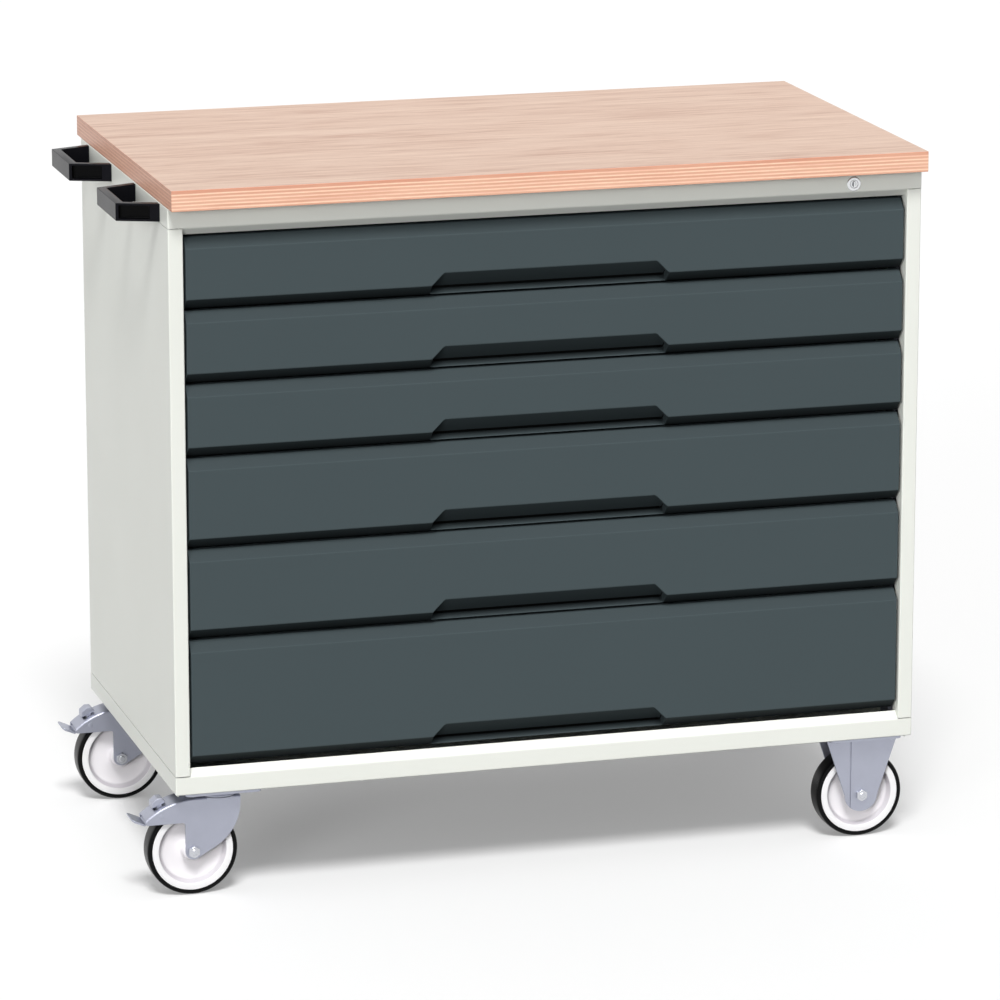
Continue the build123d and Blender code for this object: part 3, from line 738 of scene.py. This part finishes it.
def finger_slit(y, z):
    """The narrow opening along the crease, with the space of the folded sheet behind it."""
    section = [(-3, -1.6), (1.2, -1.6), (1.2, -6), (3.1, -6), (3.1, 12), (1.2, 12), (1.2, 1.6), (-3, 1.6)]
    half = grip_half - 3 * mm
    slit = draw("slit", [Vector((cabinet_x - half, y + py * mm, z + pz * mm)) for py, pz in section])
    pull(slit, (2 * half, 0, 0))
    tidy(slit)
    return slit


def mark_front_painted_shade(front, low):
    """Marks painted shade: light on upper bevels, more on faces that look down and in the grip pocket."""
    mesh = front.data
    values = mesh.attributes.new("hollow", "FLOAT", "CORNER").data
    for face in mesh.polygons:
        corners = [mesh.vertices[index].co for index in face.vertices]
        depths = [(corner.y - low.y) / grip_depth for corner in corners]
        in_slit = min(depths) > 0.85 and max(depths) < 1.145
        aside = abs(face.center.x - cabinet_x)
        looks_up, looks_down = face.normal.z > 0.5, face.normal.z < -0.5
        on_lip = looks_up and aside < grip_half and face.center.z < low.z + bevel
        for loop, depth in zip(face.loop_indices, depths):
            if in_slit:
                value = 1.0
            elif on_lip:
                value = 0.25 + (depth - 0.6) * 1.9
            elif looks_down and face.center.z > low.z + bevel:
                value = 0.42 + 0.12 * depth
            elif looks_down:
                value = 0.6 + 0.5 * depth
            elif abs(face.normal.x) > 0.5 and aside < grip_half + mm:
                value = 0.5
            elif looks_up:
                value = 0.22
            else:
                value = 0.0
            values[loop].value = min(max(value, 0.0), 1.0)


def drawer_front(name, low, high):
    front = add_box(name, low, high)
    choose(front, "EDGE", lambda middle, along: abs(middle.y - low.y) < 1e-6 and abs(along.x) > 0.9)
    bpy.ops.mesh.bevel(offset=bevel, segments=1, affect="EDGES")
    leave_edit()
    cut_away(front, finger_groove(low.y, low.z))
    tidy(front)
    round_edges(front, 1.3, segments=3, angle=25)
    cut_away(front, finger_slit(low.y + grip_depth, low.z + bevel + grip_rise - grip_depth))
    # The front's faces are marked for painted shade in its folds, on faces that look down and on its bevels.
    mark_front_painted_shade(front, low)
    return front


made_fronts = {}
for number in drawer_numbers:
    low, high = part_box(f"drawer_{number}_front")
    height = round((high.z - low.z) / mm)
    if height in made_fronts:
        model, model_low = made_fronts[height]
        front = copy_piece(model, f"drawer_{number}_panel", low - model_low)
    else:
        front = drawer_front(f"drawer_{number}_panel", low, high)
        made_fronts[height] = (front, low)
for number in drawer_numbers:
    dress(bpy.data.objects[f"drawer_{number}_panel"], f"drawer_{number}", "anthracite_paint",
          f"drawer_{number}_front")

# %% [markdown]
# ## Drawer trays
# Behind each front is an open tray of thin sheet with rounded bends.

# %% Drawer trays
tray_sheet = 1.0
tray_bend = 2.0
for number in drawer_numbers:
    low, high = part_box(f"drawer_{number}_tray")
    tray = add_box(f"drawer_{number}_box", low, high)
    choose(tray, "FACE", lambda middle, normal: normal.z > 0.9)
    bpy.ops.mesh.delete(type="ONLY_FACE")
    leave_edit()
    fold(tray, tray_sheet, tray_bend)
    dress(tray, f"drawer_{number}", "tray_paint", f"drawer_{number}_tray")

# %% [markdown]
# ## Push handles
# A handle is a moulded bow with a solid foot at each end. Its plan is drawn as one outline and pulled up.
# The outer face of each leg is then set in to a pocket, which leaves a rim all round.

# %% Push handles
handle_low = 926.5
handle_high = 950.5
foot, corner = 10, 1
pocket_rim, pocket_depth = 3, 10


def push_handle(name, middle_y):
    wall, bar, thick = -525, -580, 12
    outer_half, bar_half = 80, 59
    inner_half = outer_half - thick
    lean = (outer_half - bar_half) / (bar - wall)
    inner_bar = bar_half - lean * thick - thick
    plan = [(wall, -outer_half), (bar, -bar_half), (bar, bar_half), (wall, outer_half), (wall, inner_half),
            (bar + thick, inner_bar), (bar + thick, -inner_bar), (wall, -inner_half)]
    handle = draw(name, [spot(x, middle_y + y, handle_low) for x, y in plan])
    pull(handle, (0, 0, (handle_high - handle_low) * mm))
    tidy(handle)
    for x in (wall - foot, bar + corner):
        slice_all(handle, spot(x, 0, 0), (1, 0, 0))
    left, right = spot(bar + corner, 0, 0).x, spot(wall - foot, 0, 0).x
    centre = middle_y * mm
    choose(handle, "FACE", lambda middle, normal: left < middle.x < right and abs(normal.y) > 0.8
           and (middle.y - centre) * normal.y > 0)
    bpy.ops.mesh.inset(thickness=pocket_rim * mm, use_individual=True)
    bpy.ops.mesh.extrude_region_shrink_fatten(TRANSFORM_OT_shrink_fatten={"value": -pocket_depth * mm})
    leave_edit()
    round_edges(handle, 1.4, segments=4, angle=40)

    def in_pocket(middle):
        x, y, z = (middle - spot(0, middle_y, (handle_low + handle_high) / 2)) / mm
        depth = outer_half + lean * (wall - x) - abs(y)
        return 1.5 < depth < 11.5 and abs(z) < 9.6 and bar + 3 < x < wall - 12

    # The pocket's faces are marked for painted shade.
    mark_faces_for_painted_shade(handle, in_pocket)
    return handle


handle_y = 150
handle = push_handle("push_bow_front", -handle_y)
rear_handle = copy_piece(handle, "push_bow_rear", (0, 2 * handle_y * mm, 0))
dress(handle, "cabinet", "black_plastic", "push_handle_front")
dress(rear_handle, "cabinet", "black_plastic", "push_handle_rear")

# %% [markdown]
# ## Lock
# The housing's bezel is a turned ring, and the plug in it is turned as well. A box is meant to cut the key
# slot, but the cut fails: the plug's face stays closed and the box's front end is left on it as a small
# bar. This is a known fault. The plug carries a cam with a pin behind the rail, which lifts the lock bar.

# %% Lock
def turned(name, centre, profile, axis=(0, 1, 0), steps=96):
    """A piece turned about an axis, from points of radius and distance along the axis."""
    across, along = Vector((mm, 0, 0)), Vector(axis) * mm
    piece = draw(name, [centre + across * radius + along * place for radius, place in profile], closed=False)
    spin(piece, centre, axis, steps)
    return piece


lock_middle = spot(427, -275, 936)
housing = turned("lock_bezel", lock_middle, [(5.45, 20), (5.45, -1.2), (6.0, -1.9), (7.0, -2.0), (8.6, -1.9),
                                             (9.5, -1.4), (10, -0.6), (10, 0), (8, 0), (8, 20), (5.45, 20)])
dress(housing, "cabinet", "lock_chrome", "lock_housing")
plug = turned("lock_plug", lock_middle, [(0, -1.7), (4.4, -1.7), (5.1, -1.5), (5.4, -1.0), (5.4, 20.3),
                                         (9, 20.3), (9, 23.3), (0, 23.3)])
choose(plug, "FACE", lambda middle, normal: middle.y < lock_middle.y and normal.y < -0.99)
bpy.ops.mesh.dissolve_faces()
leave_edit()
slot_half = Vector((1.1, 8, 3.4)) * mm
slot_middle = lock_middle + Vector((0, 4, 0)) * mm
cut_away(plug, add_box("slot", slot_middle - slot_half, slot_middle + slot_half))
# The plug's faces inside the slot box are marked for painted shade.
mark_faces_for_painted_shade(plug, lambda middle: middle.y > lock_middle.y and all(
    abs(middle[axis] - slot_middle[axis]) < slot_half[axis] * 1.01 for axis in range(3)))
pin_off = 4.243
pin = turned("cam_pin", lock_middle + Vector((pin_off, 0, -pin_off)) * mm,
             [(0, 23.2), (2, 23.2), (2, 26.1), (0, 26.1)], steps=24)
join(plug, pin)
dress(plug, "lock_cylinder", "lock_chrome", "lock_cylinder")

# %% [markdown]
# ## Wheels
# A wheel is a white plastic rim, dished between hub and ring, with a rubber tyre cast on. Half sections
# are drawn and spun round the axle, one wheel is modelled, and the other three are copies.

# %% Wheels
def middle_of(node):
    """The middle of a CAD piece in millimetres from the cabinet's middle and the floor."""
    low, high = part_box(node)
    return ((low + high) / 2 - spot(0, 0, 0)) / mm


wheel_nodes = [f"{end}_{kind}" for kind in ("swivel", "fixed") for end in ("front", "rear")]
wheel_places = {name: middle_of(f"{name}_rim") for name in wheel_nodes}
swivel_x, castor_y, axle_z = wheel_places["front_swivel"]
fixed_x = wheel_places["front_fixed"].x
rear_step = spot(*wheel_places["rear_swivel"]) - spot(*wheel_places["front_swivel"])
trail = 38
rim_side = [(5.1, 17.7), (12.5, 17.7), (13.6, 17.2), (14.2, 16.0), (15.0, 8.5), (16.5, 6.4), (19, 5.4),
            (30, 5.0), (41, 5.6), (43.6, 6.6), (45.0, 8.8), (46.4, 13.6), (47.2, 14.7), (48.4, 15.1),
            (54.8, 15.1), (55.7, 14.8), (56, 14.0)]
rim_profile = both_sides(rim_side)
tyre_side = [(56, 14.6), (56.6, 15.6), (57.4, 16), (59.0, 15.9), (60.6, 15.2), (61.7, 13.8), (62.2, 12),
             (62.5, 7)]
tyre_profile = both_sides(tyre_side)
web_radius, ring_radius = 42, 47
wheel_steps = 128


def mark_rim_painted_shade(rim, centre):
    """Marks the web of a rim and the slope up to its ring, which the finish greys with painted shade."""
    offsets = [(corner.co - centre) / mm for corner in rim.data.vertices]
    radii = [math.hypot(offset.x, offset.z) for offset in offsets]
    for mark, low, high in (("web", 0, web_radius), ("slope", web_radius, ring_radius)):
        values = rim.data.attributes.new(mark, "FLOAT", "POINT").data
        values.foreach_set("value", [float(low < radius <= high) for radius in radii])


first, *others = wheel_nodes
first_centre = spot(*wheel_places[first])
rim = turned(f"{first}_wheel_disc", first_centre, rim_profile + rim_profile[:1], steps=wheel_steps)
mark_rim_painted_shade(rim, first_centre)
tyre = turned(f"{first}_wheel_tyre", first_centre, tyre_profile + tyre_profile[:1], steps=wheel_steps)
for name in others:
    step = spot(*wheel_places[name]) - first_centre
    copy_piece(rim, f"{name}_wheel_disc", step)
    copy_piece(tyre, f"{name}_wheel_tyre", step)
for name in wheel_nodes:
    dress(bpy.data.objects[f"{name}_wheel_disc"], f"{name}_wheel", "wheel_plastic", f"{name}_rim")
    dress(bpy.data.objects[f"{name}_wheel_tyre"], f"{name}_wheel", "tyre_rubber", f"{name}_tyre")

# %% [markdown]
# ## Swivel forks
# The fork is pressed from one plate: two cheeks and a curved hood between them, with a round head on the
# swivel bearing. The cheek's outline is drawn, pulled across the fork's width, opened below, folded to
# thickness, and slotted for the brake's toe pad.

# %% Swivel forks
fork_half = 21
fork_sheet = 3
hood_radius = 108.58
hood_end = 90 + math.degrees(math.asin(70.5 / hood_radius))
hood = arc(5, 74.5 - hood_radius, hood_radius, 90, hood_end, 14)
back = arc(-4.5, 65.5, 70, 0, -60, 12)
hub = arc(0, 0, 11, -60, -180, 12)
notch = arc(-15, 37.5, 4, 0, 90, 5)
cheek = [(65.5, 74.5)] + back + hub + notch + [(-63.5, 41.5), (-65.5, 43.5)] + hood[::-1]
head_profile = [(6.05, 71.5), (26, 71.5), (27.2, 72), (27.5, 73), (27.2, 74.2), (26.4, 74.5), (6.05, 74.5),
                (6.05, 71.5)]


def swivel_fork(name, x, y):
    fork = draw(name, [spot(x + px, y - fork_half, axle_z + pz) for px, pz in cheek])
    pull(fork, (0, 2 * fork_half * mm, 0))
    tidy(fork)
    choose(fork, "FACE", lambda middle, normal: abs(normal.y) < 0.5 and normal.z < 0.3)
    bpy.ops.mesh.delete(type="ONLY_FACE")
    leave_edit()
    round_edges(fork, 3.2, segments=4, angle=40)
    fold(fork, fork_sheet, 0)
    toe_slot = add_box("toe_slot", spot(x - 51.8, y - 11, axle_z + 52), spot(x - 40, y + 11, axle_z + 80))
    cut_away(fork, toe_slot)
    head = turned("head", spot(x + trail, y, axle_z), head_profile, axis=(0, 0, 1))
    join(fork, head)
    return fork


fork = swivel_fork("front_fork_pressing", swivel_x, castor_y)
rear_fork = copy_piece(fork, "rear_fork_pressing", rear_step)
dress(fork, "front_fork", "zinc_steel", "front_swivel_fork")
dress(rear_fork, "rear_fork", "zinc_steel", "rear_swivel_fork")

# %% [markdown]
# ## Brake pedals
# The brake is a lever on a pin across the fork. Its arm leaves the fork under the hood and ends in a
# tongue that a foot presses down, and a toe block stands up through the hood and lets the brake off.
# Arm, tongue and block are side outlines pulled across their widths, with their edges rounded.

# %% Brake pedals
def bar_across(name, x, y, points, half):
    """A bar with a side outline about the axle, pulled across to both sides."""
    bar = draw(name, [spot(x + px, y - half, axle_z + pz) for px, pz in points])
    pull(bar, (0, 2 * half * mm, 0))
    tidy(bar)
    return bar


pivot_x, pivot_z = -44.03, 52.47


def brake_pedal(name, x, y):
    knuckle = arc(pivot_x, pivot_z, 4.5, 100, -80, 12)
    arm = bar_across(name, x, y, knuckle + [(-65.5, 40.3), (-67.5, 40.4), (-67.5, 43.4), (-65.5, 43.3)], 17)
    round_edges(arm, 0.5, segments=2, angle=40)
    tongue = bar_across("tongue", x, y, [(-66.5, 40.3), (-80.5, 46.2), (-84.5, 48.6), (-84.5, 51.3),
                                         (-80.2, 49.3), (-66.5, 43.3)], 19)
    left = spot(x - 84, 0, 0).x
    choose(tongue, "EDGE", lambda middle, along: middle.x < left and abs(along.z) > 0.9)
    bpy.ops.mesh.bevel(offset=5 * mm, segments=4, affect="EDGES")
    leave_edit()
    round_edges(tongue, 0.7, segments=3, angle=35)
    stem = bar_across("stem", x, y, [(-47, 52.5), (-41, 52.5), (-41, 70), (-47, 70)], 9.5)
    block = bar_across("block", x, y, [(-54.5, 61.2), (-36.5, 68.6), (-36.5, 71.6), (-40, 75.3), (-47, 75.3),
                                       (-54.5, 69.4)], 10)
    round_edges(block, 1.1, segments=3, angle=25)
    join(arm, tongue, stem, block)
    return arm


pedal = brake_pedal("front_brake_lever", swivel_x, castor_y)
rear_pedal = copy_piece(pedal, "rear_brake_lever", rear_step)
dress(pedal, "front_pedal", "zinc_steel", "front_brake_pedal")
dress(rear_pedal, "rear_pedal", "zinc_steel", "rear_brake_pedal")

# %% [markdown]
# ## Axles and pins
# A wheel turns on a bolt with a hexagon at each end. A hexagon starts as a cylinder of six sides, and a
# turned cone trims its corners, as on a real nut. The brake's pin has a low riveted head at each end.

# %% Axles and pins
nut_height = 5
nut_radius = 8.5


def hexagon(name, centre, radius, seat, outward):
    """A nut along y whose back lies at its seat, with its outer corners trimmed."""
    clear_selection()
    middle = centre + Vector((0, (seat + nut_height / 2 * outward) * mm, 0))
    bpy.ops.mesh.primitive_cylinder_add(vertices=6, radius=radius * mm, depth=nut_height * mm,
                                        location=middle, rotation=(math.pi / 2, 0, 0))
    bpy.ops.object.transform_apply(location=True, rotation=True)
    nut = bpy.context.object
    nut.name = name
    trim = turned("trim", centre, [(0, seat - outward), (radius + 1, seat - outward),
                                   (radius + 1, seat + 3.2 * outward),
                                   (radius - 1.3, seat + nut_height * outward),
                                   (0, seat + nut_height * outward)], steps=48)
    apply_modifier(nut, "BOOLEAN", operation="INTERSECT", object=trim, solver="EXACT")
    bpy.data.objects.remove(trim)
    tidy(nut)
    round_edges(nut, 0.25, segments=2, angle=35)
    return nut


def wheel_bolt(name, centre, seat):
    shank = [(0, -seat - 5.8), (3.4, -seat - 5.8), (4.4, -seat - 5.0), (4.9, -seat), (4.9, seat),
             (4.4, seat + 5.0), (3.4, seat + 5.8), (0, seat + 5.8)]
    bolt = turned(name, centre, shank, steps=48)
    join(bolt, hexagon("near", centre, nut_radius, -seat, -1), hexagon("far", centre, nut_radius, seat, 1))
    return bolt


def brake_rivet(name, centre):
    half = [(0, -21.7), (1.6, -21.65), (2.8, -21.5), (3.5, -21.2), (3.5, -21), (1.95, -21)]
    return turned(name, centre, both_sides(half), steps=32)


bracket_half = 23.5
bolt = wheel_bolt("front_swivel_bolt", spot(swivel_x, castor_y, axle_z), fork_half)
rear_bolt = copy_piece(bolt, "rear_swivel_bolt", rear_step)
rivet = brake_rivet("front_brake_rivet", spot(swivel_x + pivot_x, castor_y, axle_z + pivot_z))
rear_rivet = copy_piece(rivet, "rear_brake_rivet", rear_step)
fixed_bolt = wheel_bolt("fixed_bolts", spot(fixed_x, castor_y, axle_z), bracket_half)
join(fixed_bolt, copy_piece(fixed_bolt, "far_bolt", rear_step))
for name, new_bolt, new_rivet in (("front", bolt, rivet), ("rear", rear_bolt, rear_rivet)):
    dress(new_bolt, f"{name}_fork", "bright_steel", f"{name}_swivel_axle")
    dress(new_rivet, f"{name}_fork", "zinc_steel", f"{name}_brake_pin")
dress(fixed_bolt, "cabinet", "bright_steel", "fixed_axles")

# %% [markdown]
# ## Castor plates and fixed brackets
# Each castor hangs on a plate with rounded corners. Under a swivel plate sits the bearing cup with the
# kingpin. A fixed bracket has two tapering legs instead, with a groove pressed down the side for
# stiffness: the outlines are drawn from the side and pulled to their thickness.

# %% Castor plates and brackets
plate_under, plate_top = 146, 150
plate_half_x, plate_half_y = 52.5, 42.5


def mount_plate(name, x, y):
    plate = add_box(name, spot(x - plate_half_x, y - plate_half_y, plate_under),
                    spot(x + plate_half_x, y + plate_half_y, plate_top))
    choose(plate, "EDGE", lambda middle, along: abs(along.z) > 0.9)
    bpy.ops.mesh.bevel(offset=7 * mm, segments=6, affect="EDGES")
    leave_edit()
    round_edges(plate, 0.7, segments=2, angle=40)
    return plate


def swivel_mount(name, x, y):
    plate = mount_plate(name, x, y)
    cup = turned("cup", spot(x, y, 0), [(0, 129.7), (9.4, 129.7), (10, 130.3), (10, 133.1), (9.4, 133.7),
                                        (6, 133.7), (6, 137.35), (26.2, 137.35), (27.2, 137.8), (27.5, 138.8),
                                        (26.8, 141), (24.6, 143.8), (22.3, 145.4), (20.5, 146.2), (0, 146.2)],
                 axis=(0, 0, 1))
    join(plate, cup)
    return plate


def bracket_leg(name, x, y, side):
    """A tapering plate with a groove pressed down its outer side, left of the wheel's bolt."""
    left, right, top, foot_radius = -plate_half_x, plate_half_x, 84, 24
    whole = [(left, top), (right, top)] + arc(0, 0, foot_radius, 0, -180, 25)
    left_of_groove = [(left, top), (-18, top)] + arc(0, 0, foot_radius, -138.6, -180, 9)
    right_of_groove = [(-15.6, top), (right, top)] + arc(0, 0, foot_radius, 0, -130.5, 19)
    leg = None
    for shape, inner, thick in ((whole, 20.5, 1.6), (left_of_groove, 22, 1.5), (right_of_groove, 22, 1.5)):
        layer = draw(name, [spot(x + px, y + side * inner, axle_z + pz) for px, pz in shape])
        pull(layer, (0, side * thick * mm, 0))
        tidy(layer)
        round_edges(layer, 0.5, segments=2, angle=50)
        if leg is None:
            leg = layer
        else:
            join(leg, layer)
    return leg


swivel_mounts = swivel_mount("swivel_mounts", swivel_x + trail, castor_y)
join(swivel_mounts, copy_piece(swivel_mounts, "rear_mount", rear_step))
dress(swivel_mounts, "cabinet", "zinc_steel", "swivel_plates")
bracket = mount_plate("fixed_castor_brackets", fixed_x, castor_y)
join(bracket, bracket_leg("near_leg", fixed_x, castor_y, -1), bracket_leg("far_leg", fixed_x, castor_y, 1))
join(bracket, copy_piece(bracket, "rear_bracket", rear_step))
dress(bracket, "cabinet", "zinc_steel", "fixed_brackets")

# %% [markdown]
# ## Castor bolts
# Four low round heads hold each castor's plate, and their shanks go up into nuts in the base. A head is
# turned, its hexagon socket is cut out, and one bolt is copied to all sixteen places.

# %% Castor bolts
bolt_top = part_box("castor_bolts")[1].z / mm
head_height = 3.2


def castor_bolt(name, x, y):
    head = [(0, -head_height), (3.4, -head_height), (5.4, -2.5), (6.5, -1.3), (6.9, 0), (3.95, 0)]
    end = bolt_top - plate_under
    shank = [(3.95, end - 0.6), (3.4, end), (0, end)]
    piece = turned(name, spot(x, y, plate_under), head + shank, axis=(0, 0, 1), steps=32)
    clear_selection()
    bpy.ops.mesh.primitive_cylinder_add(vertices=6, radius=2.9 * mm, depth=4 * mm,
                                        location=spot(x, y, plate_under - head_height))
    socket = bpy.context.object
    bpy.ops.object.transform_apply(location=True)
    cut_away(piece, socket)
    tidy(piece)
    return piece


bolt_half_x, bolt_half_y = 40, 30
first_bolt = castor_bolt("castor_bolt_set", swivel_x + trail - bolt_half_x, castor_y - bolt_half_y)
step_x, step_y = Vector((2 * bolt_half_x * mm, 0, 0)), Vector((0, 2 * bolt_half_y * mm, 0))
to_fixed = Vector(((fixed_x - swivel_x - trail) * mm, 0, 0))
for step in (step_x, step_y, to_fixed, rear_step):
    join(first_bolt, copy_piece(first_bolt, "copied_bolts", step))
dress(first_bolt, "cabinet", "bright_steel", "castor_bolts")
